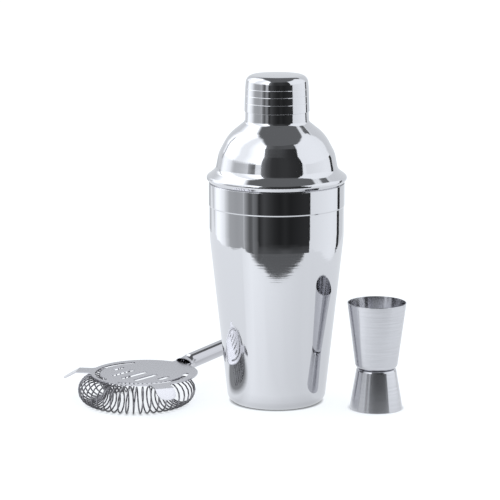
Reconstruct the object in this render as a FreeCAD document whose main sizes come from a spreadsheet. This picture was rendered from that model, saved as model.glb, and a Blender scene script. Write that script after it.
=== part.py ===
import FreeCAD, Part
import math
import os
import re
import Sketcher

# Cocktail shaker set in stainless steel, in millimetres.
# The shaker stands on the origin with its axis along +Z: a cup, a lid with a perforated
# panel pushed into the cup's mouth, and a cap pushed over the lid's neck.
# A double-ended jigger stands in front of it on the +X side.
# A coil-spring bar strainer lies on the -X side, its handle running away behind the shaker.

Vector = FreeCAD.Vector
Rotation = FreeCAD.Rotation
Placement = FreeCAD.Placement

doc = FreeCAD.newDocument("CocktailShakerSet")
sheet = doc.addObject("Spreadsheet::Sheet", "Sizes")

SIZES = [
    # Sheet metal
    ("gauge", 0.5, "thickness of the drawn stainless sheet"),
    ("rim_rounding", 0.2, "rounding of the open rims"),
    # Shaker cup
    ("cup_foot", 31.5, "radius where the tapered wall would meet the table"),
    ("cup_foot_rounding", 6.0, "rounding between base and wall"),
    ("cup_barrel", 43.5, "outer radius of the straight upper wall"),
    ("cup_shoulder", 109.7, "height where the taper meets the straight wall"),
    ("cup_shoulder_rounding", 73.0, "blend from taper to straight wall"),
    ("band_step", 0.4, "how far the band that takes the lid is widened"),
    ("band_height", 15.0, "height of the band, down from the rim"),
    ("band_ramp", 0.8, "height of the step out to the band"),
    ("cup_height", 144.6, "height of the cup's rim"),
    # Strainer lid, heights from the cup's rim
    ("lid_gap", 0.1, "gap between the lid's skirt and the cup's bore"),
    ("skirt_gap", 1.7, "height left between the skirt and the foot of the band's step"),
    ("bead_rest", 0.3, "height of the bead's foot above the cup's rim"),
    ("bead_reach", 2.15, "how far the bead's outer corner stands out past the cup"),
    ("bead_rise", 3.9, "height of the bead's outer corner"),
    ("bead_rounding", 1.95, "rounding of the bead"),
    ("cove_inset", 4.4, "how far the hollow above the bead lies inside the cup's radius"),
    ("cove_rise", 8.9, "height of the hollow above the bead"),
    ("cove_rounding", 5.4, "rounding of the hollow"),
    ("brow_inset", 6.45, "how far the turn of the dome's side lies inside the cup's radius"),
    ("brow_rise", 19.55, "height where the dome's side turns in"),
    ("brow_rounding", 16.5, "rounding of the dome's side"),
    ("crown_inset", 12.7, "how far the dome's upper turn lies inside the cup's radius"),
    ("crown_rise", 31.4, "height of the dome's upper turn"),
    ("crown_rounding", 25.7, "rounding of the dome's upper turn"),
    ("neck_foot", 20.75, "radius at the foot of the neck"),
    ("neck_foot_rise", 39.8, "height of the neck's foot"),
    ("neck_foot_rounding", 2.5, "rounding at the neck's foot"),
    ("neck_top", 19.7, "radius at the top of the tapered neck"),
    ("neck_top_rise", 61.0, "height of the neck's top"),
    ("neck_lip", 1.6, "width of the rounded lip round the strainer panel"),
    ("panel_depth", 2.5, "depth of the strainer panel below the lip"),
    ("panel_seat", 0.3, "how far the panel reaches past the lip's turned-down edge"),
    ("lip_rounding", 0.76, "rounding of the lip round the panel"),
    ("hole", 3.0, "diameter of the strainer holes"),
    ("inner_ring", 6.0, "radius of the inner ring of holes"),
    ("inner_count", 6, "holes in the inner ring"),
    ("outer_ring", 12.0, "radius of the outer ring of holes"),
    ("outer_count", 12, "holes in the outer ring"),
    # Cap, heights from its own open edge
    ("cap_seat_rise", 46.6, "height of the cap's edge above the cup's rim"),
    ("cap_gap", 0.08, "gap between neck and cap at the cap's edge"),
    ("cap_waist", 20.4, "outer radius where the cap starts to draw in, at its highest line"),
    ("cap_top", 19.7, "outer radius of the cap's upper corner"),
    ("cap_top_rise", 23.0, "height of the cap's upper corner"),
    ("cap_top_rounding", 5.0, "rounding of the cap's upper corner"),
    ("cap_crown", 240.0, "radius of the slightly domed top"),
    ("line_depth", 0.12, "depth of the cap's turned lines"),
    ("line_width", 0.4, "width of the cap's turned lines"),
    ("line_low_rise", 5.7, "height of the lowest line"),
    ("line_mid_rise", 10.5, "height of the middle line"),
    ("line_high_rise", 15.0, "height of the highest line"),
    # Jigger: a small cup standing on its mouth, a large cup on top, base to base
    ("jigger_gap", 2.45, "gap between the lid's bead and the jigger's mouth, seen from above"),
    ("jigger_heading", -17.58, "direction of the jigger from the shaker, degrees from +X"),
    ("small_mouth", 17.2, "outer radius of the small cup's mouth"),
    ("small_base", 12.8, "outer radius of the small cup's base corner"),
    ("small_depth", 26.5, "height of the small cup"),
    ("small_rounding", 1.5, "rounding of the small cup's base"),
    ("large_mouth", 19.05, "outer radius of the large cup's mouth"),
    ("large_base", 13.4, "outer radius of the large cup's base corner"),
    ("large_depth", 43.3, "height of the large cup"),
    ("large_rounding", 3.5, "rounding of the large cup's base"),
    # Bar strainer, in a frame whose +X runs along the handle
    ("strainer_gap", 5.46, "gap between the lid's bead and the plate, seen from above"),
    ("strainer_heading", 180.99, "direction of the plate from the shaker, degrees from +X"),
    ("handle_heading", 50.0, "direction of the handle, degrees from +X"),
    ("plate", 35.0, "radius of the perforated plate"),
    ("plate_gauge", 0.7, "thickness of the plate"),
    ("slot_width", 4.0, "width of the straight slots"),
    ("slot_pitch", 10.0, "spacing of the straight slots"),
    ("slot_long", 24.0, "length of the middle slot"),
    ("slot_medium", 21.5, "length of the slots beside it"),
    ("slot_short", 10.0, "length of the outer slots"),
    ("slot_lead", 10.0, "how far the long slots lie in front of the centre"),
    ("slot_short_lead", 3.5, "how far the short slots lie in front of the centre"),
    ("arc_slot", 29.0, "radius of the curved slots"),
    ("arc_slot_width", 3.4, "width of the curved slots"),
    ("arc_slot_lead", 2.4, "how far their centre lies in front of the plate's centre"),
    ("arc_slot_start", 54.0, "where the curved slots start, degrees from the handle"),
    ("arc_slot_end", 166.0, "where the curved slots end, degrees from the handle"),
    ("ear_heading", 121.0, "direction of the ears, degrees from the handle"),
    ("ear_width", 12.5, "width of the ears"),
    ("ear_bend", 44.8, "distance of the bend from the plate's centre"),
    ("ear_lobe", 10.6, "length of the bent-down lobe"),
    ("ear_drop", 29.0, "how far the lobe is bent down, degrees"),
    ("ear_tip_rounding", 6.0, "rounding of the ear's two end corners"),
    ("ear_root_rounding", 4.0, "fillet between ear and plate"),
    ("ear_bend_rounding", 2.0, "rounding of the bend"),
    ("root_depth", 3.5, "how far ears and tang are drawn into the disc to join it"),
    ("tang_gap", 0.15, "gap between the plate's tang and the handle's mouth, at its sides and end"),
    # Coil spring, a wire wound round a ring under the plate
    ("wire", 0.9, "diameter of the spring wire"),
    ("coil", 18.0, "outer diameter of the coil"),
    ("coil_ring", 29.5, "radius of the ring that the coil follows"),
    ("coil_lead", 7.5, "how far the ring's centre lies in front of the plate's centre"),
    ("coil_turns", 33, "turns in the coil"),
    ("coil_ends", 133.0, "where the ring opens, degrees each way from the front"),
    ("coil_gap", 0.1, "gap between coil and plate"),
    ("coil_steps", 8, "points of the wire's route in each turn"),
    # Handle, a tube flattened over the plate's tang
    ("tube", 5.2, "outer radius of the handle tube"),
    ("tube_wall", 0.4, "wall of the handle tube"),
    ("tube_length", 107.0, "length of the round part of the tube"),
    ("handle_rise", 6.0, "slope of the handle, degrees"),
    ("mouth_lead", 38.8, "distance of the flattened mouth from the plate's centre"),
    ("mouth_width", 13.5, "width of the flattened mouth"),
    ("mouth_height", 5.4, "height of the flattened mouth"),
    ("mouth_length", 1.4, "length of the flattened stretch"),
    ("crimp_length", 4.5, "length of the change from flat to round"),
    ("crimp_drop", 0.6, "how far the tube's axis starts below the middle of the plate"),
    ("plug_gap", 0.05, "gap between the end cap's shank and the tube"),
    ("plug_depth", 6.0, "length of the end cap's shank"),
    ("plug_collar", 1.0, "height of the end cap's straight edge"),
    ("plug_dome", 6.5, "radius of the end cap's domed face"),
]

for row, (alias, value, meaning) in enumerate(SIZES, 1):
    sheet.set(f"A{row}", alias)
    sheet.set(f"B{row}", str(value))
    sheet.set(f"C{row}", meaning)
    sheet.setAlias(f"B{row}", alias)
doc.recompute()

CLOSE = 0.005  # mm within which two measures count as the same
LEAST_CUT = 0.01  # mm3 that a cut must take away to count as one

ALIASES = {alias for alias, value, meaning in SIZES}


# ---------------------------------------------------------------- helpers

def bound(formula):
    """The formula with the sheet's name put before each alias in it."""
    return re.sub(r"[a-z_]+", lambda word: f"Sizes.{word[0]}" if word[0] in ALIASES else word[0], formula)


def size(formula):
    """The number that a formula of aliases gives now."""
    return float(sheet.evalExpression(bound(formula)))


def drive(item, prop, formula):
    """Bind one property of an object to the sheet."""
    item.setExpression(prop, bound(formula))


def new_body(name):
    body = doc.addObject("PartDesign::Body", name)
    body.Label = name
    return body


def origin_item(body, role):
    """One of the body's own origin planes or axes."""
    return next(item for item in body.Origin.OriginFeatures if item.Role == role)


def new_sketch(body, name, role):
    """A sketch on one of the body's own origin planes."""
    sketch = body.newObject("Sketcher::SketchObject", name)
    sketch.AttachmentSupport = [(origin_item(body, role), "")]
    sketch.MapMode = "FlatFace"
    return sketch


def turn_sketch(sketch, axis, angle):
    """Turn a sketch out of its plane about one of its own axes, by an angle of the sheet."""
    sketch.AttachmentOffset = Placement(Vector(0, 0, 0), Rotation(axis, size(angle)))
    drive(sketch, "AttachmentOffset.Rotation.Angle", angle)


def hold(sketch, geometry, point, x_formula, y_formula):
    """Fix one point of a sketch's geometry by two formulas of the sheet."""
    for kind, axis, formula in (("DistanceX", -2, x_formula), ("DistanceY", -1, y_formula)):
        if formula is None:
            continue
        if formula == "0":
            sketch.addConstraint(Sketcher.Constraint("PointOnObject", geometry, point, axis))
            continue
        number = sketch.addConstraint(Sketcher.Constraint(kind, -1, 1, geometry, point, size(formula)))
        drive(sketch, f"Constraints[{number}]", formula)


def hold_value(sketch, constraint, formula):
    """Add a constraint that carries a size and bind it to the sheet."""
    number = sketch.addConstraint(constraint)
    drive(sketch, f"Constraints[{number}]", formula)


def bowed_edge(start, end, radius):
    """A shallow arc from start to end that bows to the right of the straight way."""
    chord = end - start
    outwards = Vector(chord.y, -chord.x, 0).normalize()
    centre = (start + end) * 0.5 - outwards * math.sqrt(radius**2 - chord.Length**2 / 4)
    first = math.atan2(start.y - centre.y, start.x - centre.x)
    last = math.atan2(end.y - centre.y, end.x - centre.x)
    return Part.ArcOfCircle(Part.Circle(centre, Vector(0, 0, 1), radius), first, last)


def outline(sketch, corners, bulges=None):
    """A closed outline through corners given as pairs of formulas.

    bulges gives an edge, by the number of the corner it leaves, a radius in place of a
    straight line; the arc bows away from the outline's inside when drawn anticlockwise.
    """
    bulges = bulges or {}
    points = [Vector(size(x), size(y), 0) for x, y in corners]
    first = sketch.GeometryCount
    count = len(points)
    for number, start in enumerate(points):
        end = points[(number + 1) % count]
        if number in bulges:
            sketch.addGeometry(bowed_edge(start, end, size(bulges[number])))
        else:
            sketch.addGeometry(Part.LineSegment(start, end))
    for number in range(count):
        following = (number + 1) % count
        sketch.addConstraint(
            Sketcher.Constraint("Coincident", first + number, 2, first + following, 1)
        )
    for number, (x_formula, y_formula) in enumerate(corners):
        hold(sketch, first + number, 1, x_formula, y_formula)
    for number, formula in bulges.items():
        hold_value(sketch, Sketcher.Constraint("Radius", first + number, size(formula)), formula)


def circle(sketch, radius, x_formula="0", y_formula="0"):
    """A circle of a sketch, its radius and centre bound to the sheet."""
    centre = Vector(size(x_formula), size(y_formula), 0)
    number = sketch.addGeometry(Part.Circle(centre, Vector(0, 0, 1), size(radius)))
    hold(sketch, number, 3, x_formula, y_formula)
    hold_value(sketch, Sketcher.Constraint("Radius", number, size(radius)), radius)


def ellipse(sketch, half_width, half_height):
    """An ellipse about the sketch's origin, wider along the sketch's X."""
    wide, high = size(half_width), size(half_height)
    sketch.addGeometry(Part.Ellipse(Vector(wide, 0, 0), Vector(0, high, 0), Vector(0, 0, 0)))
    sketch.exposeInternalGeometry(0)
    sketch.addConstraint(Sketcher.Constraint("Coincident", 0, 3, -1, 1))
    sketch.addConstraint(Sketcher.Constraint("Horizontal", 1))
    hold_value(sketch, Sketcher.Constraint("Distance", 1, 2 * wide), f"2 * ({half_width})")
    hold_value(sketch, Sketcher.Constraint("Distance", 2, 2 * high), f"2 * ({half_height})")


def revolve(body, sketch, name, kind="PartDesign::Revolution"):
    """Turn a sketch a full circle about its vertical axis, adding or cutting."""
    turned = body.newObject(kind, name)
    turned.Profile = sketch
    turned.ReferenceAxis = (sketch, ["V_Axis"])
    turned.Angle = 360
    return settle(turned)


def pad(body, sketch, name, length, symmetric=False):
    """Thicken a sketch along its normal, or half of it each way."""
    thick = body.newObject("PartDesign::Pad", name)
    thick.Profile = sketch
    thick.Midplane = symmetric
    drive(thick, "Length", length)
    return settle(thick)


def cut_along(body, sketch, name, upwards=True):
    """Cut a sketch along its normal, through everything above it, or below it."""
    pocket = body.newObject("PartDesign::Pocket", name)
    pocket.Profile = sketch
    pocket.Type = "ThroughAll"
    pocket.Reversed = upwards
    return settle_cut(pocket)


def circles(feature):
    """Name and circle of each round edge of a feature."""
    for number, edge in enumerate(feature.Shape.Edges, 1):
        if not edge.Degenerated and isinstance(edge.Curve, Part.Circle):
            yield f"Edge{number}", edge.Curve


def ring(feature, radius, height):
    """Name of the circular edge at one radius and height."""
    for name, curve in circles(feature):
        if abs(curve.Radius - radius) < CLOSE and abs(curve.Center.z - height) < CLOSE:
            return name
    raise ValueError(f"no ring of radius {radius} at height {height} on {feature.Name}")


def edges_where(feature, test):
    """Names of the edges whose middle and length pass a test."""
    names = []
    for number, edge in enumerate(feature.Shape.Edges, 1):
        if edge.Degenerated:
            continue
        middle = edge.valueAt((edge.FirstParameter + edge.LastParameter) / 2)
        if test(edge, middle):
            names.append(f"Edge{number}")
    return names


def flat_face(feature, height):
    """Name of the flat face that lies level at one height."""
    for number, face in enumerate(feature.Shape.Faces, 1):
        if isinstance(face.Surface, Part.Plane) and abs(face.CenterOfMass.z - height) < CLOSE:
            return f"Face{number}"
    raise ValueError(f"no flat face at height {height} on {feature.Name}")


def settle(feature):
    """Recompute the document and stop at once if a feature failed."""
    doc.recompute()
    if "Invalid" in feature.State or feature.Shape.isNull():
        raise ValueError(f"{feature.Name} failed: {feature.getStatusString()}")
    return feature


def settle_cut(feature):
    """Settle a cut, and check that it removed something: one that points away removes nothing."""
    settle(feature)
    if feature.Shape.Volume > feature.BaseFeature.Shape.Volume - LEAST_CUT:
        raise ValueError(f"{feature.Name} removed nothing")
    return feature


def fillet(body, feature, name, formula, edges):
    """Round some edges of the body's last feature."""
    rounded = body.newObject("PartDesign::Fillet", name)
    rounded.Base = (feature, edges)
    drive(rounded, "Radius", formula)
    return settle(rounded)


def hollow(body, feature, open_height):
    """Turn a solid drawn shape into sheet of the set's gauge, open at one level face."""
    wall = body.newObject("PartDesign::Thickness", "Wall")
    wall.Base = (feature, [flat_face(feature, open_height)])
    wall.Reversed = True
    wall.Mode = "Skin"
    wall.Join = "Arc"
    drive(wall, "Value", "gauge")
    return settle(wall)


def round_rim(body, feature, height):
    """Round both edges of an open rim."""
    rim = [name for name, curve in circles(feature) if abs(curve.Center.z - height) < CLOSE]
    return fillet(body, feature, "RimRounding", "rim_rounding", rim)


# ---------------------------------------------------------------- shaker

BAND = "cup_barrel + band_step"


def make_cup():
    """The drawn cup: flat base, tapering wall, straight barrel and a widened band."""
    body = new_body("shaker_cup")
    sketch = new_sketch(body, "CupOutline", "XZ_Plane")
    outline(sketch, [
        ("0", "0"),
        ("cup_foot", "0"),
        ("cup_barrel", "cup_shoulder"),
        ("cup_barrel", "cup_height - band_height"),
        (BAND, "cup_height - band_height + band_ramp"),
        (BAND, "cup_height"),
        ("0", "cup_height"),
    ])
    blank = revolve(body, sketch, "CupBlank")
    shoulder = ring(blank, size("cup_barrel"), size("cup_shoulder"))
    blank = fillet(body, blank, "CupShoulder", "cup_shoulder_rounding", [shoulder])
    foot = ring(blank, size("cup_foot"), 0)
    blank = fillet(body, blank, "CupFoot", "cup_foot_rounding", [foot])
    wall = hollow(body, blank, size("cup_height"))
    round_rim(body, wall, size("cup_height"))
    return body


# Two radii of the lid that several places share, and its turning points.
LIP_INSIDE = "neck_top - neck_lip"
PANEL_RISE = "neck_top_rise - panel_depth"
SKIRT = f"{BAND} - gauge - lid_gap"
SKIRT_FOOT = "band_ramp + skirt_gap - band_height"
BEAD = f"{BAND} + bead_reach"
COVE = f"{BAND} - cove_inset"
BROW = f"{BAND} - brow_inset"
CROWN = f"{BAND} - crown_inset"


def make_lid():
    """The lid: skirt, bead, dome and tapered neck, with a lip turned in and down at its top."""
    body = new_body("strainer_lid")
    drive(body, "Placement.Base.z", "cup_height")
    sketch = new_sketch(body, "LidOutline", "XZ_Plane")
    outline(sketch, [
        ("0", SKIRT_FOOT),
        (SKIRT, SKIRT_FOOT),
        (SKIRT, "bead_rest"),
        (BEAD, "bead_rise"),
        (COVE, "cove_rise"),
        (BROW, "brow_rise"),
        (CROWN, "crown_rise"),
        ("neck_foot", "neck_foot_rise"),
        ("neck_top", "neck_top_rise"),
        (LIP_INSIDE, "neck_top_rise"),
        (LIP_INSIDE, PANEL_RISE),
        ("0", PANEL_RISE),
    ])
    blank = revolve(body, sketch, "LidBlank")
    turns = {"bead": BEAD, "cove": COVE, "brow": BROW, "crown": CROWN, "neck_foot": "neck_foot"}
    for place, radius in turns.items():
        turn = ring(blank, size(radius), size(f"{place}_rise"))
        blank = fillet(body, blank, f"Rounding_{place}", f"{place}_rounding", [turn])
    lip = [
        ring(blank, size("neck_top"), size("neck_top_rise")),
        ring(blank, size(LIP_INSIDE), size("neck_top_rise")),
    ]
    blank = fillet(body, blank, "NeckLip", "lip_rounding", lip)
    hollow(body, blank, size(SKIRT_FOOT))
    opening = new_sketch(body, "NeckOpeningOutline", "XY_Plane")
    drive(opening, "AttachmentOffset.Base.z", PANEL_RISE)
    circle(opening, f"{LIP_INSIDE} + gauge")
    cut_along(body, opening, "NeckOpening", upwards=False)
    return body


def make_panel():
    """The perforated strainer disc, fixed under the lid's turned-down lip."""
    body = new_body("strainer_panel")
    drive(body, "Placement.Base.z", f"cup_height + {PANEL_RISE} - gauge")
    sketch = new_sketch(body, "PanelOutline", "XY_Plane")
    circle(sketch, f"{LIP_INSIDE} + gauge + panel_seat")
    pad(body, sketch, "Panel", "gauge")
    punch(body, "CentreHole", "0", None)
    punch(body, "InnerHoles", "inner_ring", "inner_count")
    punch(body, "OuterHoles", "outer_ring", "outer_count")
    return body


def punch(body, name, radius, count):
    """Strainer holes through the panel: one in the centre, or a ring of them."""
    sketch = new_sketch(body, f"{name}Outline", "XY_Plane")
    circle(sketch, "hole / 2", radius)
    pocket = cut_along(body, sketch, name)
    if count:
        pattern = body.newObject("PartDesign::PolarPattern", f"{name}Ring")
        pattern.Originals = [pocket]
        pattern.Axis = (origin_item(body, "Z_Axis"), [""])
        pattern.Angle = 360
        drive(pattern, "Occurrences", count)
        body.Tip = pattern
        settle(pattern)


NECK_TAPER = "(neck_foot - neck_top) / (neck_top_rise - neck_foot_rise)"
CAP_MOUTH = f"neck_foot - (cap_seat_rise - neck_foot_rise) * {NECK_TAPER} + cap_gap + gauge"


def make_cap():
    """The cap: a deep cup pushed over the neck, with three turned lines round it."""
    body = new_body("cap")
    drive(body, "Placement.Base.z", "cup_height + cap_seat_rise")
    outer = new_sketch(body, "CapOutline", "XZ_Plane")
    cap_section(outer, "0")
    revolve(body, outer, "CapBlank")
    inner = new_sketch(body, "CapInsideOutline", "XZ_Plane")
    cap_section(inner, "gauge")
    inside = revolve(body, inner, "CapInside", "PartDesign::Groove")
    inner_corner = ring(inside, size("cap_top - gauge"), size("cap_top_rise - gauge"))
    wall = fillet(body, inside, "CapInnerCorner", "cap_top_rounding - gauge", [inner_corner])
    corner = ring(wall, size("cap_top"), size("cap_top_rise"))
    wall = fillet(body, wall, "CapCorner", "cap_top_rounding", [corner])
    round_rim(body, wall, 0)
    turn_lines(body)
    return body


def cap_section(sketch, inset):
    """Half the cap's outline, or the same outline moved in by the sheet's thickness."""
    crown_sag = "cap_crown - sqrt(cap_crown ^ 2 - cap_top ^ 2)"
    outline(sketch, [
        ("0", "0"),
        (f"{CAP_MOUTH} - {inset}", "0"),
        (f"cap_waist - {inset}", "line_high_rise"),
        (f"cap_top - {inset}", f"cap_top_rise - {inset}"),
        ("0", f"cap_top_rise + {crown_sag} - {inset}"),
    ], {3: "cap_crown"})


def turn_lines(body):
    """Three shallow V-shaped lines cut round the cap."""
    for place in ("low", "mid", "high"):
        rise = f"line_{place}_rise"
        surface = f"cap_waist + (line_high_rise - {rise}) * ({CAP_MOUTH} - cap_waist) / line_high_rise"
        sketch = new_sketch(body, f"LineOutline_{place}", "XZ_Plane")
        outline(sketch, [
            (f"{surface} - line_depth", rise),
            (f"{surface} + line_depth", f"{rise} - line_width"),
            (f"{surface} + line_depth", f"{rise} + line_width"),
        ])
        settle_cut(revolve(body, sketch, f"Line_{place}", "PartDesign::Groove"))


# ---------------------------------------------------------------- jigger

def make_measure(name, mouth, base, depth, rounding, base_height, upright):
    """One of the jigger's two cups, drawn with its base at the cups' joint."""
    body = new_body(name)
    reach = f"({BEAD} + jigger_gap + large_mouth)"
    drive(body, "Placement.Base.x", f"{reach} * cos(jigger_heading)")
    drive(body, "Placement.Base.y", f"{reach} * sin(jigger_heading)")
    drive(body, "Placement.Base.z", base_height)
    mouth_height = depth if upright else f"0 - {depth}"
    sketch = new_sketch(body, "MeasureOutline", "XZ_Plane")
    outline(sketch, [("0", "0"), (base, "0"), (mouth, mouth_height), ("0", mouth_height)])
    blank = revolve(body, sketch, "MeasureBlank")
    blank = fillet(body, blank, "BaseRounding", rounding, [ring(blank, size(base), 0)])
    wall = hollow(body, blank, size(mouth_height))
    round_rim(body, wall, size(mouth_height))
    return body


def make_jigger():
    small = make_measure("jigger_small_cup", "small_mouth", "small_base", "small_depth",
                         "small_rounding", "small_depth", False)
    large = make_measure("jigger_large_cup", "large_mouth", "large_base", "large_depth",
                         "large_rounding", "small_depth", True)
    return [small, large]


# ---------------------------------------------------------------- bar strainer

PLATE_HEIGHT = "coil + coil_gap"


def place_on_strainer(item, lead, height, tilt=0.0):
    """Put an item in the strainer's frame: so far along the handle, at a height, tilted up."""
    heading = Rotation(Vector(0, 0, 1), size("handle_heading"))
    reach = f"({BEAD} + strainer_gap + plate)"
    x, y = size(f"{reach} * cos(strainer_heading)"), size(f"{reach} * sin(strainer_heading)")
    centre = Vector(x, y, height)
    along = heading.multVec(Vector(lead, 0, 0))
    item.Placement = Placement(centre + along, heading.multiply(Rotation(Vector(0, 1, 0), -tilt)))


def straight_slot(sketch, x_formula, y_formula, length):
    """A slot with round ends along the sketch's X, its centre and length bound."""
    x, y = size(x_formula), size(y_formula)
    half = size(f"({length} - slot_width) / 2")
    radius = size("slot_width / 2")
    up = Vector(0, 0, 1)
    first = sketch.GeometryCount
    right = Part.Circle(Vector(x + half, y, 0), up, radius)
    left = Part.Circle(Vector(x - half, y, 0), up, radius)
    sketch.addGeometry(Part.ArcOfCircle(right, -math.pi / 2, math.pi / 2))
    sketch.addGeometry(Part.LineSegment(Vector(x + half, y + radius, 0), Vector(x - half, y + radius, 0)))
    sketch.addGeometry(Part.ArcOfCircle(left, math.pi / 2, 3 * math.pi / 2))
    sketch.addGeometry(Part.LineSegment(Vector(x - half, y - radius, 0), Vector(x + half, y - radius, 0)))
    for number in range(4):
        sketch.addConstraint(
            Sketcher.Constraint("Tangent", first + number, 2, first + (number + 1) % 4, 1)
        )
    hold(sketch, first, 3, f"{x_formula} + ({length} - slot_width) / 2", y_formula)
    hold(sketch, first + 2, 3, f"{x_formula} - ({length} - slot_width) / 2", None)
    hold_value(sketch, Sketcher.Constraint("Radius", first, radius), "slot_width / 2")
    sketch.addConstraint(Sketcher.Constraint("Horizontal", first + 1))


def curved_slot(sketch):
    """A slot with round ends along an arc about a centre in front of the plate's."""
    lead, radius = size("arc_slot_lead"), size("arc_slot")
    half = size("arc_slot_width / 2")
    start, end = math.radians(size("arc_slot_start")), math.radians(size("arc_slot_end"))
    up = Vector(0, 0, 1)
    centre = Vector(-lead, 0, 0)

    def end_centre(angle):
        return centre + Vector(radius * math.cos(angle), radius * math.sin(angle), 0)

    outer = Part.Circle(centre, up, radius + half)
    inner = Part.Circle(centre, up, radius - half)
    sketch.addGeometry(Part.ArcOfCircle(outer, start, end))
    far = Part.Circle(end_centre(end), up, half)
    sketch.addGeometry(Part.ArcOfCircle(far, end, end + math.pi))
    sketch.addGeometry(Part.ArcOfCircle(inner, start, end))
    near = Part.Circle(end_centre(start), up, half)
    sketch.addGeometry(Part.ArcOfCircle(near, start + math.pi, start + 2 * math.pi))
    # The ends meet tangentially: outer arc, far end, inner arc (drawn start to end), near end.
    for first, first_end, second, second_end in ((0, 2, 1, 1), (1, 2, 2, 2), (2, 1, 3, 1), (3, 2, 0, 1)):
        sketch.addConstraint(Sketcher.Constraint("Tangent", first, first_end, second, second_end))
    hold(sketch, 0, 3, "0 - arc_slot_lead", "0")
    sketch.addConstraint(Sketcher.Constraint("Coincident", 0, 3, 2, 3))
    hold_value(sketch, Sketcher.Constraint("Radius", 0, radius + half), "arc_slot + arc_slot_width / 2")
    hold_value(sketch, Sketcher.Constraint("Radius", 2, radius - half), "arc_slot - arc_slot_width / 2")
    hold(sketch, 1, 3, None, "arc_slot * sin(arc_slot_end)")
    hold(sketch, 3, 3, None, "arc_slot * sin(arc_slot_start)")


def mirror(body, feature, name):
    """Repeat a feature on the other side of the handle's upright plane."""
    pair = body.newObject("PartDesign::Mirrored", name)
    pair.Originals = [feature]
    pair.MirrorPlane = (origin_item(body, "XZ_Plane"), [""])
    body.Tip = pair
    return settle(pair)


def make_plate():
    """The strainer's plate: a slotted disc with two bent ears and a tang for the handle."""
    body = new_body("strainer_plate")
    disc_sketch = new_sketch(body, "DiscOutline", "XY_Plane")
    circle(disc_sketch, "plate")
    pad(body, disc_sketch, "Disc", "plate_gauge")

    tang_sketch = new_sketch(body, "TangOutline", "XY_Plane")
    tang_tip = "mouth_lead + mouth_length - tang_gap"
    tang_side = "(mouth_width / 2 - tube_wall - tang_gap)"
    outline(tang_sketch, [
        ("plate - root_depth", f"0 - {tang_side}"),
        (tang_tip, f"0 - {tang_side}"),
        (tang_tip, tang_side),
        ("plate - root_depth", tang_side),
    ])
    pad(body, tang_sketch, "Tang", "plate_gauge")

    ear_sketch = new_sketch(body, "EarSide", "XZ_Plane")
    turn_sketch(ear_sketch, Vector(0, 1, 0), "ear_heading")
    reach = "ear_bend + ear_lobe * cos(ear_drop)"
    sink = "plate_gauge - ear_lobe * sin(ear_drop)"
    outline(ear_sketch, [
        ("plate - root_depth", "0"),
        ("ear_bend - plate_gauge * tan(ear_drop / 2)", "0"),
        (f"{reach} - plate_gauge * sin(ear_drop)", f"{sink} - plate_gauge * cos(ear_drop)"),
        (reach, sink),
        ("ear_bend", "plate_gauge"),
        ("plate - root_depth", "plate_gauge"),
    ])
    ear = pad(body, ear_sketch, "Ear", "ear_width", symmetric=True)
    round_ears(body, mirror(body, ear, "EarPair"))

    slots = new_sketch(body, "StraightSlots", "XY_Plane")
    for side in (-2, -1, 0, 1, 2):
        length = {0: "slot_long", 1: "slot_medium", 2: "slot_short"}[abs(side)]
        lead = "slot_short_lead" if abs(side) == 2 else "slot_lead"
        straight_slot(slots, f"0 - {lead}", f"{side} * slot_pitch" if side else "0", length)
    cut_along(body, slots, "StraightSlotCuts")

    curve = new_sketch(body, "CurvedSlot", "XY_Plane")
    curved_slot(curve)
    mirror(body, cut_along(body, curve, "CurvedSlotCut"), "CurvedSlotPair")
    place_on_strainer(body, 0, size(PLATE_HEIGHT))
    return body


def round_ears(body, feature):
    """Round the ears' tips, their roots on the disc and the crease of the bend."""
    rim, bend, gauge = size("plate"), size("ear_bend"), size("plate_gauge")
    tip = size("ear_bend + (ear_lobe - plate_gauge / 2) * cos(ear_drop)")
    half = size("ear_width / 2")
    heading = math.radians(size("ear_heading"))
    ear_lines = [Vector(math.cos(a), math.sin(a), 0) for a in (heading, -heading)]

    def along_ear(point):
        """Distance along the nearer ear and sideways from its middle line."""
        ear = max(ear_lines, key=lambda line: line.dot(point))
        sideways = abs(ear.x * point.y - ear.y * point.x)
        return ear.dot(point), sideways

    def is_tip(edge, middle):
        reach, sideways = along_ear(middle)
        return reach > tip - gauge and abs(sideways - half) < CLOSE and edge.Length < gauge * 1.1

    def is_root(edge, middle):
        reach, sideways = along_ear(middle)
        upright = abs(edge.Length - gauge) < CLOSE and abs(middle.z - gauge / 2) < CLOSE
        return upright and abs(math.hypot(middle.x, middle.y) - rim) < CLOSE and abs(sideways - half) < CLOSE

    def is_crease(edge, middle):
        reach, sideways = along_ear(middle)
        return sideways < CLOSE and abs(reach - bend) < gauge and abs(middle.z - gauge) < CLOSE

    feature = fillet(body, feature, "EarTips", "ear_tip_rounding", edges_where(feature, is_tip))
    feature = fillet(body, feature, "EarRoots", "ear_root_rounding", edges_where(feature, is_root))
    fillet(body, feature, "EarBends", "ear_bend_rounding", edges_where(feature, is_crease))


def helix_point(turn_angle):
    """Place and direction of the coil's centre line at one angle round the ring."""
    ring_radius = size("coil_ring")
    winding_radius = size("(coil - wire) / 2")
    winds = size("coil_turns") * 180.0 / size("coil_ends")
    winding = winds * turn_angle
    reach = ring_radius + winding_radius * math.cos(winding)
    slide = -winding_radius * winds * math.sin(winding)
    point = Vector(reach * math.cos(turn_angle), reach * math.sin(turn_angle),
                   winding_radius * math.sin(winding))
    direction = Vector(slide * math.cos(turn_angle) - reach * math.sin(turn_angle),
                       slide * math.sin(turn_angle) + reach * math.cos(turn_angle),
                       winding_radius * winds * math.cos(winding))
    return point, direction.normalize()


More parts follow.
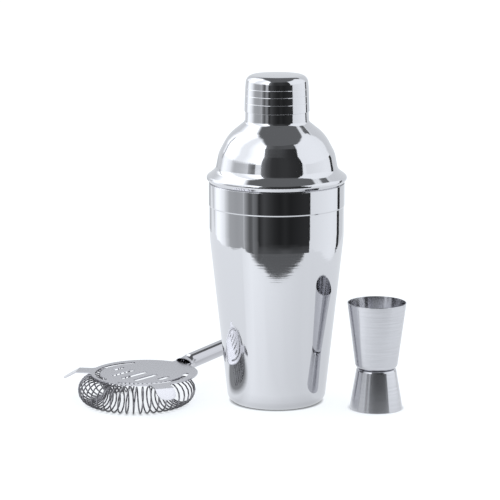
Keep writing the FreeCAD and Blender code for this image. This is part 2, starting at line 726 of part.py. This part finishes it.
def bend_wire(ring_edge, start, direction, end):
    """Turn a wire's round section about an arc; gives the wire's skin and the next section."""
    chord = end - start
    inward = chord - direction * chord.dot(direction)
    inward.normalize()
    radius = chord.Length**2 / (2 * chord.dot(inward))
    centre = start + inward * radius
    axis = direction.cross(inward)
    angle = 2 * math.degrees(math.asin(min(1.0, chord.Length / (2 * radius))))
    skin = ring_edge.revolve(centre, axis, angle)
    following = ring_edge.copy()
    following.rotate(centre, axis, angle)
    return skin, following, math.radians(angle) * radius


def make_coil():
    """The coil spring: one wire wound round an open ring, built of short tangent arcs."""
    steps = round(size("coil_turns * coil_steps"))
    opening = math.radians(size("coil_ends"))
    places = [helix_point(-opening + 2 * opening * step / steps) for step in range(steps + 1)]
    start, direction = places[0]
    wire_radius = size("wire / 2")
    section = Part.Circle(start, direction, wire_radius).toShape()
    faces = [Part.Face(Part.Wire(section))]
    length = 0.0
    for (start, direction), (end, end_direction) in zip(places, places[1:]):
        chord = end - start
        both = direction + end_direction
        spread = 2 * (1 - direction.dot(end_direction))
        lean = chord.dot(both)
        reach = (math.sqrt(lean**2 + spread * chord.Length**2) - lean) / spread
        middle = (start + direction * reach + end - end_direction * reach) * 0.5
        middle_direction = (end - end_direction * reach - start - direction * reach).normalize()
        bends = ((start, direction, middle), (middle, middle_direction, end))
        for from_point, heading, to_point in bends:
            skin, section, arc = bend_wire(section, from_point, heading, to_point)
            faces.append(skin)
            length += arc
    faces.append(Part.Face(Part.Wire(section)))
    shell = Part.makeShell(faces)
    shell.sewShape()
    solid = Part.makeSolid(shell)
    if solid.Volume < 0:
        solid.reverse()
    expected = math.pi * wire_radius**2 * length
    print(f"spring wire {length:.0f} mm long, volume {solid.Volume:.1f}, expected {expected:.1f}")
    coil = doc.addObject("Part::Feature", "spring_coil")
    coil.Label = "spring_coil"
    coil.Shape = solid
    place_on_strainer(coil, -size("coil_lead"), size("coil / 2"))
    # The ring opens towards the handle, so it is turned half round.
    coil.Placement = coil.Placement.multiply(Placement(Vector(0, 0, 0), Rotation(Vector(0, 0, 1), 180)))
    return coil


# ---------------------------------------------------------------- handle

def handle_section(body, name, lead, rise="0", tilt=False):
    """A sketch across the handle, so far from its mouth, raised and tilted with the tube."""
    sketch = new_sketch(body, name, "YZ_Plane")
    if tilt:
        turn_sketch(sketch, Vector(-1, 0, 0), "handle_rise")
    drive(sketch, "AttachmentOffset.Base.y", rise)
    drive(sketch, "AttachmentOffset.Base.z", lead)
    return sketch


ROUND_START = "mouth_length + crimp_length"
ROUND_RISE = "(0 - crimp_drop)"


def handle_sections(body, name, inset):
    """The handle's three sections: two flat ones at the mouth and a round one."""
    flats = []
    for place, lead in (("Mouth", "0"), ("Crimp", "mouth_length")):
        sketch = handle_section(body, f"{name}{place}", lead)
        ellipse(sketch, f"mouth_width / 2 - {inset}", f"mouth_height / 2 - {inset}")
        flats.append(sketch)
    round_sketch = handle_section(body, f"{name}Round", ROUND_START, ROUND_RISE, tilt=True)
    circle(round_sketch, f"tube - {inset}")
    return flats, round_sketch


def loft(body, name, kind, flats, round_sketch):
    """Join the handle's sections by one smooth skin, adding or cutting."""
    joined = body.newObject(kind, name)
    joined.Profile = flats[0]
    joined.Sections = [flats[1], round_sketch]
    return joined


def make_handle():
    """The handle: a round tube whose front end is flattened over the plate's tang."""
    body = new_body("handle_tube")
    flats, round_sketch = handle_sections(body, "Outer", "0")
    settle(loft(body, "FlattenedFront", "PartDesign::AdditiveLoft", flats, round_sketch))
    pad(body, round_sketch, "Tube", "tube_length")
    flats, round_sketch = handle_sections(body, "Inner", "tube_wall")
    settle_cut(loft(body, "FlattenedBore", "PartDesign::SubtractiveLoft", flats, round_sketch))
    cut_along(body, round_sketch, "Bore")
    place_on_strainer(body, size("mouth_lead"), size(f"{PLATE_HEIGHT} + plate_gauge / 2"))
    return body


def make_plug():
    """The domed end cap, its shank inside the far end of the tube."""
    body = new_body("handle_end_cap")
    sketch = new_sketch(body, "PlugOutline", "XZ_Plane")
    dome = "plug_dome - sqrt(plug_dome ^ 2 - tube ^ 2)"
    outline(sketch, [
        ("0", "0 - plug_depth"),
        ("tube - tube_wall - plug_gap", "0 - plug_depth"),
        ("tube - tube_wall - plug_gap", "0"),
        ("tube", "0"),
        ("tube", "plug_collar"),
        ("0", f"plug_collar + {dome}"),
    ], {4: "plug_dome"})
    revolve(body, sketch, "Plug")
    along = size(f"{ROUND_START} + tube_length * cos(handle_rise)")
    height = size(f"{PLATE_HEIGHT} + plate_gauge / 2 + {ROUND_RISE} + tube_length * sin(handle_rise)")
    place_on_strainer(body, size("mouth_lead") + along, height, size("handle_rise") - 90.0)
    return body


# ---------------------------------------------------------------- the set

PIECES = [
    make_cup(),
    make_lid(),
    make_panel(),
    make_cap(),
    *make_jigger(),
    make_plate(),
    make_coil(),
    make_handle(),
    make_plug(),
]
doc.recompute()

for item in doc.Objects:
    for fault in ("Invalid", "Error"):
        if fault in item.State:
            raise ValueError(f"{item.Name} is {fault}")

os.makedirs("parts", exist_ok=True)
for piece in PIECES:
    shape = piece.Shape
    if shape.isNull() or not shape.isValid() or len(shape.Solids) != 1:
        raise ValueError(f"{piece.Label} is not one valid solid")
    shape.exportStep(os.path.join("parts", f"{piece.Label}.step"))
    print(f"{piece.Label}: {shape.Volume:.0f} mm3")
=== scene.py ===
# %% [markdown]
# # A cocktail shaker set in stainless steel
# The set has a three-piece shaker, a double-ended jigger and a coil-spring bar strainer.
# The engineering model is already finished and packed, so it is loaded as a fixed frame.
# This lesson gives it its looks: the steel finishes, the spring's wire and a small studio.

# %% Load the fixed model
import math

import bmesh
import bpy
from mathutils import Matrix, Vector


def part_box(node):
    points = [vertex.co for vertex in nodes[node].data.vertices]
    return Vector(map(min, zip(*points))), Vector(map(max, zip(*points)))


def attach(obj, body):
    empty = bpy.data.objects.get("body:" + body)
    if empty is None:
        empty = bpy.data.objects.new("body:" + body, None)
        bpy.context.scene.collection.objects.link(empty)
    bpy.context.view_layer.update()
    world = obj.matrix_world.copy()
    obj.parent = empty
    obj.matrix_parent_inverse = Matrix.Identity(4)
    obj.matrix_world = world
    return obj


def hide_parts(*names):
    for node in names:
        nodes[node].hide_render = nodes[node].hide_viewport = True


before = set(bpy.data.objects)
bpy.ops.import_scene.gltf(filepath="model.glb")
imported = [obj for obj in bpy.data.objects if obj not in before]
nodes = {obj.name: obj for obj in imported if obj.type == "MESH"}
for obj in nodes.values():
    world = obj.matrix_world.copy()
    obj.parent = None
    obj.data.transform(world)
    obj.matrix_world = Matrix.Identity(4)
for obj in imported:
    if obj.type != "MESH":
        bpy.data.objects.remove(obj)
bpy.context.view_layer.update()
print("loaded", ", ".join(sorted(nodes)))

# %% Millimetres, colours and nodes
MM = 0.001


def linear(colour):
    """An sRGB hex colour, such as "D5D8DF", as linear red, green, blue and alpha."""
    shares = [int(colour[place:place + 2], 16) / 255 for place in (0, 2, 4)]
    return [s / 12.92 if s <= 0.04045 else ((s + 0.055) / 1.055) ** 2.4 for s in shares] + [1.0]


def add(tree, kind, links=(), **settings):
    """Add one shader node; links maps its input names to values or to other nodes' outputs."""
    node = tree.nodes.new(kind)
    for name, value in settings.items():
        setattr(node, name, value)
    for name, value in dict(links).items():
        if isinstance(value, bpy.types.NodeSocket):
            tree.links.new(value, node.inputs[name])
        else:
            node.inputs[name].default_value = value
    return node


print("helpers ready")

# %% [markdown]
# ## The camera
# Tall shiny things are best seen from far away through a long lens, so that the shaker's
# sides stay upright and its rims are shallow ovals. The camera looks down by eleven degrees.

# %% Camera
LOOKING_DOWN = 11
lens = bpy.data.cameras.new("long_lens")
lens.lens = 176.4
lens.sensor_width = 36.0
lens.clip_end = 50.0
camera = bpy.data.objects.new("camera", lens)
camera.location = (-17.3 * MM, -1561.9 * MM, 403.7 * MM)
camera.rotation_euler = (math.radians(90 - LOOKING_DOWN), 0, 0)
bpy.context.scene.collection.objects.link(camera)
bpy.context.scene.camera = camera
bpy.context.scene.view_settings.view_transform = "Standard"
print("camera", round(camera.location.length, 3), "m from the shaker's foot")

# %% [markdown]
# ## The sky and the floor
# Polished steel has hardly any colour of its own: what the eye reads as steel is the room.
# So the room is built first. A few lamps would leave spots and hard shadows on the steel.
# An even white sky lights it from all round, and the set stands on seamless white paper.

# %% White sky
world = bpy.data.worlds.new("white_sky")
bpy.context.scene.world = world
world.use_nodes = True
sky = world.node_tree.nodes["Background"]
# A softbox is a little bluer than neutral; this tint makes the steel look cool, not grey.
DAYLIGHT = (0.965, 1.0, 1.04, 1.0)
sky.inputs["Color"].default_value = DAYLIGHT
sky.inputs["Strength"].default_value = 1.04
print("sky strength", round(sky.inputs["Strength"].default_value, 2))


# %% Sheets that belong to the studio
def staged(name, form, material):
    """Turn a bmesh into an object of the studio, which isn't part of the set."""
    mesh = bpy.data.meshes.new(name)
    form.to_mesh(mesh)
    form.free()
    mesh.materials.append(material)
    piece = bpy.data.objects.new(name, mesh)
    bpy.context.scene.collection.objects.link(piece)
    return piece


def flat_sheet(name, corners, height, material):
    """A level staged sheet drawn through its corners."""
    form = bmesh.new()
    form.faces.new([form.verts.new((x, y, height)) for x, y in corners])
    return staged(name, form, material)


print("sheets can be made")


# %% White floor
def matt_white_paper():
    """Seamless white background paper: fully rough, and lit from behind so that shadows stay faint."""
    paper = bpy.data.materials.new("matt_white_paper")
    paper.use_nodes = True
    tree = paper.node_tree
    shader = tree.nodes["Principled BSDF"]
    shader.inputs["Base Color"].default_value = linear("969696")
    shader.inputs["Roughness"].default_value = 1.0
    shader.inputs["Specular IOR Level"].default_value = 0.0
    shader.inputs["Emission Color"].default_value = DAYLIGHT
    # The glow fails where something stands close, which leaves a thin contact shadow.
    closeness = add(tree, "ShaderNodeAmbientOcclusion", {"Distance": 2 * MM}, samples=8)
    glow = add(tree, "ShaderNodeMath", {0: closeness.outputs["AO"], 1: 0.8}, operation="MULTIPLY")
    tree.links.new(glow.outputs["Value"], shader.inputs["Emission Strength"])
    return paper


FLOOR_REACH = 6
floor_corners = [(-FLOOR_REACH, -FLOOR_REACH), (FLOOR_REACH, -FLOOR_REACH),
                 (FLOOR_REACH, FLOOR_REACH), (-FLOOR_REACH, FLOOR_REACH)]
floor = flat_sheet("floor", floor_corners, 0.0, matt_white_paper())
# The steel mirrors a table of its own, made further down, so it doesn't see this paper.
floor.visible_glossy = False
print("floor", 2 * FLOOR_REACH, "m across")

# %% [markdown]
# ## Cards that only reflections see
# A mirror under an even sky looks like white plastic: it needs something dark to reflect.
# A studio stands black and white cards round the set for this, just out of view.
# A picture of a room wrapped round the scene would do it too, but cards are easy to move.
# A card here is a patch of a large ball round the set, made by spinning one point twice.
# Each vertex carries how brightly it glows and how much it covers, so edges can thin out.


# %% What the cards are made of
def blank_material(name):
    """A material with an empty node tree; gives the material and the tree."""
    material = bpy.data.materials.new(name)
    material.use_nodes = True
    material.node_tree.nodes.clear()
    return material, material.node_tree


def glow_or_clear(tree, share, strength):
    """End a card's material: clear where share is 0, and glowing with strength where it is 1."""
    shine = add(tree, "ShaderNodeEmission", {"Color": DAYLIGHT, "Strength": strength})
    clear = add(tree, "ShaderNodeBsdfTransparent")
    mixed = add(tree, "ShaderNodeMixShader", {
        "Fac": share, 1: clear.outputs["BSDF"], 2: shine.outputs["Emission"],
    })
    add(tree, "ShaderNodeOutputMaterial", {"Surface": mixed.outputs["Shader"]})


def make_card_cloth():
    """Stretched cloth: it glows by its glow attribute and thins out by its cover."""
    cloth, tree = blank_material("card_cloth")
    glow = add(tree, "ShaderNodeAttribute", attribute_name="glow")
    cover = add(tree, "ShaderNodeAttribute", attribute_name="cover")
    glow_or_clear(tree, cover.outputs["Fac"], glow.outputs["Fac"])
    return cloth


def make_white_card():
    """Thin white card: it glows downwards only, so that the cup doesn't mirror its upper side."""
    white, tree = blank_material("white_card")
    facing = add(tree, "ShaderNodeNewGeometry")
    glow_or_clear(tree, facing.outputs["Backfacing"], 1.4)
    return white


card_cloth = make_card_cloth()
white_card = make_white_card()
print("card materials:", card_cloth.name, white_card.name)

# %% A card on a ball round the set
CARD_DISTANCE = 1.3
CARD_CENTRE = Vector((0, 0, 0.1))
COLUMN_WIDTH = 2
ROW_HEIGHT = 1.5
# Added to a bearing, in degrees, so that rounding never puts a left edge a full turn away.
NUDGE = 0.01


def along(run, share):
    """The value a share of the way along a run of evenly spaced values."""
    place = share * (len(run) - 1)
    first = min(len(run) - 2, int(place))
    return run[first] + (run[first + 1] - run[first]) * (place - first)


def only_mirrored(piece):
    """Keep a card out of the camera's sight, off matt surfaces and free of shadow."""
    for seen_by in ("visible_camera", "visible_diffuse", "visible_shadow"):
        setattr(piece, seen_by, False)


def give(piece, name, values):
    """Store one number at each vertex of a piece under a name."""
    piece.data.attributes.new(name, "FLOAT", "POINT").data.foreach_set("value", values)


def card(name, left, right, low, high, light, fade=(0, 0, 0, 0), distance=CARD_DISTANCE):
    """A staged card seen only in reflections.

    left and right are bearings in degrees from the front, low and high elevations. light is
    its brightness next to the sky's, and light, low and high may each be a run of values from
    left to right. fade gives the degrees over which it thins out at its left, right, low and
    high edges.
    """
    lights, lows, highs = (value if isinstance(value, tuple) else (value, value)
                           for value in (light, low, high))
    low, high = min(lows), max(highs)
    wide, tall = right - left, high - low
    columns, rows = max(2, round(wide / COLUMN_WIDTH)), max(2, round(tall / ROW_HEIGHT))
    form = bmesh.new()
    start = Matrix.Rotation(math.radians(-low), 3, "X") @ Vector((0, -distance, 0))
    start = Matrix.Rotation(math.radians(left), 3, "Z") @ start
    form.verts.new(CARD_CENTRE + start)
    across = Matrix.Rotation(math.radians(left), 3, "Z") @ Vector((-1, 0, 0))
    bmesh.ops.spin(form, geom=form.verts[:], cent=CARD_CENTRE, axis=across,
                   angle=math.radians(tall), steps=rows, use_merge=False)
    bmesh.ops.spin(form, geom=form.verts[:] + form.edges[:], cent=CARD_CENTRE, axis=(0, 0, 1),
                   angle=math.radians(wide), steps=columns, use_merge=False)
    piece = staged(name, form, card_cloth)
    glows, covers = [], []
    for vertex in piece.data.vertices:
        place = vertex.co - CARD_CENTRE
        turned = (math.degrees(math.atan2(place.x, -place.y)) - left + NUDGE) % 360
        rise = math.degrees(math.asin(place.z / place.length))
        share = min(1, turned / wide)
        margins = (turned, wide - turned, rise - along(lows, share), along(highs, share) - rise)
        glows.append(along(lights, share))
        covers.append(min(
            min(1, max(0, margin / width)) if width else 1 for margin, width in zip(margins, fade)
        ))
    give(piece, "glow", glows)
    give(piece, "cover", covers)
    only_mirrored(piece)


print("cards stand", CARD_DISTANCE, "m away unless they say otherwise")

# %% Behind and above the set
FLOOR_LEVEL = -50
card("back_sweep", 131, 229, FLOOR_LEVEL, 44, 0.8, fade=(2, 2, 0, 6), distance=1.9)
card("low_grey_wall", 168, 218, -8, 6, 0.6, fade=(6, 6, 0, 2), distance=0.36)
card("left_gap", -138, -131.5, 3, 34, 0.55, fade=(2, 2, 2, 6), distance=1.35)
card("ceiling", -180, 180, 54, 90, 0.16, distance=1.8)
card("ceiling_back", 131, 210, 42, 56, 0.16, distance=1.85)
print("five cards behind and above")

# %% The dark room in front
# It draws the dark band down the middle of the shaker, and is darkest right of its middle.
card("dark_room", -57, 57.5, FLOOR_LEVEL, (10, 10, 10, 10, 8),
     (0.1, 0.09, 0.03, 0.03, 0.08, 0.05, 0.03, 0.02, 0.03, 0.02, 0.025, 0.03, 0.035, 0.035),
     distance=1.6)
card("dark_room_above", -31, 50, 8, 48,
     (0.3, 0.11, 0.05, 0.045, 0.05, 0.05, 0.04, 0.035, 0.03), distance=1.48)
card("dark_room_top", -31, 51, 47, 57, (0.2, 0.1, 0.11, 0.11), distance=1.48)
card("room_floor", -57, 57.5, FLOOR_LEVEL, -14, 0.14, fade=(0, 0, 0, 9))
print("four dark cards in front")

# %% Lights at both sides
card("left_softbox", -152, -26, 10, (60, 64, 68, 70, 70, 64, 54),
     (1.3, 1.8, 2.1, 2.0, 1.2, 1.2, 1.5, 1.8, 1.8), fade=(12, 2, 7, 5), distance=1.5)
card("left_tall_softbox", -131, -96, FLOOR_LEVEL, 20, 1.42, fade=(8, 18, 0, 8), distance=1.4)
card("left_grey_card", -101, -56, FLOOR_LEVEL, 19, (0.6, 0.5, 0.45, 0.5),
     fade=(14, 0, 0, 13), distance=1.45)
card("right_light_card", 50, 131, 12, (45.5, 56, 57.5, 58, 58), (1.12, 1.15, 1.15, 1.1),
     fade=(0, 4, 0, 1.5), distance=1.5)
card("right_light_foot", 57.5, 131, FLOOR_LEVEL, 13, (0.98, 1.05, 1.12, 1.05),
     fade=(0, 4, 0, 0), distance=1.5)
print("five cards at the sides")

# %% Stands and edges
# The narrow bands and lines in a shaker's reflection are the stands and edges of the cards.
card("right_stand", 123, 132, FLOOR_LEVEL, 12, 0.03, distance=1.3)
card("stand_shadow", -57, -42, FLOOR_LEVEL, 20, (0.5, 0.3, 0.13, 0.15), fade=(0, 0, 0, 7))
card("stand_light", -43, -30, 0, 17, (0.45, 0.66, 0.66, 0.5), fade=(1, 3, 5, 6), distance=1.2)
card("stand_foot", -43, -30, FLOOR_LEVEL, 3, (0.25, 0.22, 0.16, 0.08), fade=(1, 3, 0, 3),
     distance=1.25)
card("card_edge", -58.5, -56.5, FLOOR_LEVEL, 10, 0.62, distance=1.2)
print("five narrow cards")

# %% A small card over the strainer's front ear
EAR_CARD_HEIGHT = 85 * MM
ear_card = flat_sheet("ear_card", [(-0.09, -0.034), (-0.05, -0.034), (-0.05, 0.004), (-0.09, 0.004)],
                      EAR_CARD_HEIGHT, white_card)
only_mirrored(ear_card)
print("ear card", round(EAR_CARD_HEIGHT / MM), "mm up")


# %% [markdown]
# ## The table in the reflections
# The lower half of what upright steel mirrors is the table that it stands on.
# Making the paper itself darker in places would do, but then the floor would look dirty.
# So a second sheet lies just over the paper, and only reflections see it. Its points carry painted
# light, how bright it is from place to place, and a painted shadow, a darker round patch, lies under
# the strainer.


# %% A level card made of rings
def flat_card(name, rings, height):
    """A level card seen only in reflections, made of rings of points round one another.

    Each ring is a list of (x, y, light) and the share that it covers of what lies below.
    """
    form = bmesh.new()
    loops = [[form.verts.new((x, y, height)) for x, y, light in ring] for ring, share in rings]
    for outer, inner in zip(loops, loops[1:]):
        for corner in range(len(outer)):
            following = (corner + 1) % len(outer)
            form.faces.new((outer[corner], outer[following], inner[following], inner[corner]))
    form.faces.new(loops[-1])
    piece = staged(name, form, card_cloth)
    give(piece, "glow", [light for ring, share in rings for x, y, light in ring])
    give(piece, "cover", [share for ring, share in rings for point in ring])
    only_mirrored(piece)
    print(name, "has", len(rings), "rings of", len(rings[0][0]), "points")


# %% The table that the steel mirrors
# Its outline is in metres. Its glow is painted light: it is brightest left of the cup, and dims close
# round the cup as painted shade.
TABLE_OUTLINE = [(-0.34, -0.19), (-0.2, -0.212), (-0.1, -0.24), (0.04, -0.24), (0.13, -0.228),
                 (0.2, -0.206), (0.31, -0.19), (0.34, 1.5), (-0.75, 1.5)]
TABLE_LIGHT = (1.05, 1.2, 1.12, 1.0, 0.95, 0.93, 0.95, 0.9, 1.0)
table_edge = [(x, y, light) for (x, y), light in zip(TABLE_OUTLINE, TABLE_LIGHT)]
table_rings = [(table_edge, 1)]
# The two rings round the cup are painted shade: the table's glow dims close to the cup.
for reach, painted_shade in ((55 * MM, 0.93), (33 * MM, 0.75)):
    table_rings.append(([(x * reach / math.hypot(x, y), y * reach / math.hypot(x, y), light * painted_shade)
                         for x, y, light in table_edge], 1))
flat_card("mirrored_table", table_rings, 0.02 * MM)

# %% The shade under the strainer
# The strainer keeps the light off the table under its coil.
SHADE_CENTRE = Vector((-91.3 * MM, -7.2 * MM))
SHADE_LIGHT = 0.3
shade_rings = []
for reach, share in ((48 * MM, 0), (36 * MM, 1)):
    shade_rings.append(([(SHADE_CENTRE.x + reach * math.cos(math.radians(turn)),
                          SHADE_CENTRE.y + reach * math.sin(math.radians(turn)), SHADE_LIGHT)
                         for turn in range(0, 360, 10)], share))
flat_card("strainer_shade", shade_rings, 0.04 * MM)

# %% [markdown]
# ## The steels
# Every piece is stainless steel, and only the last step of its making differs.
# The shaker is buffed to a mirror, the cup keeps the fine rings of its polishing wheel,
# the jigger is brushed as it spins, the strainer's plate is blasted to an even satin,
# and the spring is bright drawn wire. One picture of scratches could serve them all, but
# each finish has its own haze and direction, so each is built from a few nodes.


# %% A steel finish
def steel(name, colour="D8D8DB", roughness=0.05, anisotropy=0.0):
    """A bare stainless steel: its colour, its haze and how far it draws reflections out."""
    finish = bpy.data.materials.new(name)
    finish.use_nodes = True
    shader = finish.node_tree.nodes["Principled BSDF"]
    shader.inputs["Base Color"].default_value = linear(colour)
    shader.inputs["Metallic"].default_value = 1.0
    shader.inputs["Roughness"].default_value = roughness
    shader.inputs["Anisotropic"].default_value = anisotropy
    return finish


def level_strokes(tree, pitch, length):
    """Noise drawn out into level strokes, pitch apart and each running for length."""
    place = add(tree, "ShaderNodeTexCoord")
    stretched = add(tree, "ShaderNodeMapping", {
        "Vector": place.outputs["Object"], "Scale": (1 / length, 1 / length, 1 / pitch),
    })
    return add(tree, "ShaderNodeTexNoise", {
        "Vector": stretched.outputs["Vector"], "Scale": 1.0, "Detail": 2.0, "Roughness": 0.6,
    })


def turned_rings(finish, pitch, depth):
    """Cut fine rings round an upright axis into a finish, pitch apart and depth deep.

    A wheel's own scratches are less than a tenth of a millimetre apart and would not show,
    so the rings are drawn about a millimetre apart.
    """
    tree = finish.node_tree
    rings = level_strokes(tree, pitch, 50 * MM)
    relief = add(tree, "ShaderNodeBump", {
        "Height": rings.outputs["Fac"], "Distance": depth, "Strength": 1.0,
    })
    tree.links.new(relief.outputs["Normal"], tree.nodes["Principled BSDF"].inputs["Normal"])


print("steel can be made")


# %% The shaker's steels
def buffed_mirror_steel():
    """Buffed on a soft wheel: a clear mirror with the faintest trace of rings."""
    finish = steel("buffed_mirror_steel", roughness=0.07)
    turned_rings(finish, 1.2 * MM, 1.0e-6)
    return finish


def ring_polished_steel():
    """Polished while it spins: a mirror crossed by fine level rings."""
    finish = steel("ring_polished_steel", roughness=0.05)
    turned_rings(finish, 1.1 * MM, 1.0e-5)
    return finish


print("two steels for the shaker")


# %% The jigger's steel
def spun_satin_steel():
    """Brushed while it spins: reflections are drawn out up and down, under faint level strokes."""
    finish = steel("spun_satin_steel", roughness=0.17, anisotropy=0.92)
    tree = finish.node_tree
    shader = tree.nodes["Principled BSDF"]
    strokes = level_strokes(tree, 0.8 * MM, 30 * MM)
    tints = add(tree, "ShaderNodeValToRGB", {"Fac": strokes.outputs["Fac"]})
    dull, bright = tints.color_ramp.elements
    dull.position, dull.color = 0.3, linear("D0D0D4")
    bright.position, bright.color = 0.7, linear("D8D8DC")
    tree.links.new(tints.outputs["Color"], shader.inputs["Base Color"])
    # A quarter turn, so that level brushing spreads reflections across itself, up and down.
    shader.inputs["Anisotropic Rotation"].default_value = 0.25
    turned_rings(finish, 0.7 * MM, 3e-6)
    round_axis = add(tree, "ShaderNodeTangent", direction_type="RADIAL", axis="Z")
    tree.links.new(round_axis.outputs["Tangent"], shader.inputs["Tangent"])
    return finish


print("one steel for the jigger")


# %% The bar strainer's steels
def polished_tube_steel():
    """Tube polished lengthwise on a belt: a mirror, a little greyer than the shaker."""
    return steel("polished_tube_steel", colour="C7C6CA", roughness=0.06)


def blasted_satin_steel():
    """Glass-bead blasted: an even, soft grey that mirrors nothing clearly."""
    return steel("blasted_satin_steel", colour="D6D5DA", roughness=0.2)


def bright_drawn_wire():
    """Spring wire drawn through a die: bright, with a slight haze, and a darker grey that is painted
    shade.
    """
    # This grey, darker than the other steels', is painted shade on the coil.
    return steel("bright_drawn_wire", colour="939296", roughness=0.1)


print("three steels for the bar strainer")

# %% Give each piece its steel
finishes = {
    "shaker_cup": ring_polished_steel(),
    "strainer_lid": buffed_mirror_steel(),
    "strainer_plate": blasted_satin_steel(),
    "handle_tube": polished_tube_steel(),
    "jigger_large_cup": spun_satin_steel(),
    "spring_coil": bright_drawn_wire(),
}
finishes["cap"] = finishes["strainer_lid"]
finishes["handle_end_cap"] = finishes["handle_tube"]
finishes["jigger_small_cup"] = finishes["jigger_large_cup"]
finishes["strainer_panel"] = finishes["strainer_plate"]
for name, finish in finishes.items():
    nodes[name].data.materials.clear()
    nodes[name].data.materials.append(finish)
print("steels:", ", ".join(sorted({finish.name for finish in finishes.values()})))

# %% [markdown]
# ## The spring
# The strainer's edge is one long wire, wound into a coil and bent round an open ring.
# The model builds it from short arcs, whose facets would show in polished wire.
# Its centre line is a circle that travels round a larger circle, so a few sines draw it.
# A smooth curve with a round section then follows it, which is how a bender makes it too.

# %% The spring's sizes
# The wire is 0.1 mm thicker than the model's 0.9 mm, so that the coil looks as dense as a
# real one. The winding is that much tighter, so the coil's outside stays the model's 18 mm.
WIRE = 1.0 * MM
WINDING = 8.5 * MM
RING = 29.5 * MM
TURNS = 33
POINTS_PER_TURN = 16
# Half of the angle that the coil covers of its ring.
HALF_SPAN = math.radians(133)
# The ring lies under the plate, a little way from its centre on the side away from the handle.
PLATE_CENTRE = (-86.497 * MM, -1.495 * MM)
HANDLE_HEADING = 50
RING_SETBACK = 7.5 * MM
coil_low, coil_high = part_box("spring_coil")
print("wire about", round(TURNS * 2 * math.pi * WINDING, 2), "m long before it is wound")


# %% Spring wire
def spring_route():
    """The wire's centre line in the ring's own frame, open on its -X side."""
    count = TURNS * POINTS_PER_TURN
    for step in range(count + 1):
        angle = HALF_SPAN * (2 * step / count - 1)
        wind = TURNS * math.pi / HALF_SPAN * angle
        reach = RING + WINDING * math.cos(wind)
        yield Vector((reach * math.cos(angle), reach * math.sin(angle), WINDING * math.sin(wind)))


def make_spring():
    """The wire as a mesh swept along its route, with its opening turned to the handle."""
    centre = Vector((*PLATE_CENTRE, coil_low.z + WIRE / 2 + WINDING))
    heading = Matrix.Rotation(math.radians(HANDLE_HEADING), 3, "Z")
    centre += heading @ Vector((-RING_SETBACK, 0, 0))
    turned = heading @ Matrix.Rotation(math.pi, 3, "Z")
    route = [centre + turned @ point for point in spring_route()]
    line = bpy.data.curves.new("spring_line", "CURVE")
    line.dimensions = "3D"
    spline = line.splines.new("POLY")
    spline.points.add(len(route) - 1)
    for point, place in zip(spline.points, route):
        point.co = (*place, 1.0)
    line.bevel_depth = WIRE / 2
    line.bevel_resolution = 3
    line.use_fill_caps = True
    bent = bpy.data.objects.new("spring_line", line)
    bpy.context.scene.collection.objects.link(bent)
    bpy.context.view_layer.update()
    mesh = bpy.data.meshes.new_from_object(bent.evaluated_get(bpy.context.evaluated_depsgraph_get()))
    bpy.data.objects.remove(bent)
    mesh.name = "spring_wire"
    mesh.polygons.foreach_set("use_smooth", [True] * len(mesh.polygons))
    spring = bpy.data.objects.new("spring_wire", mesh)
    bpy.context.scene.collection.objects.link(spring)
    spring.data.materials.clear()
    spring.data.materials.append(finishes["spring_coil"])
    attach(spring, "bar_strainer")
    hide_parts("spring_coil")
    return spring


spring = make_spring()
corners = [Vector(corner) for corner in spring.bound_box]
print("spring", len(spring.data.polygons), "faces; box",
      [round(min(c[i] for c in corners) * 1000, 2) for i in range(3)],
      [round(max(c[i] for c in corners) * 1000, 2) for i in range(3)],
      "model", [round(x * 1000, 2) for x in coil_low], [round(x * 1000, 2) for x in coil_high])
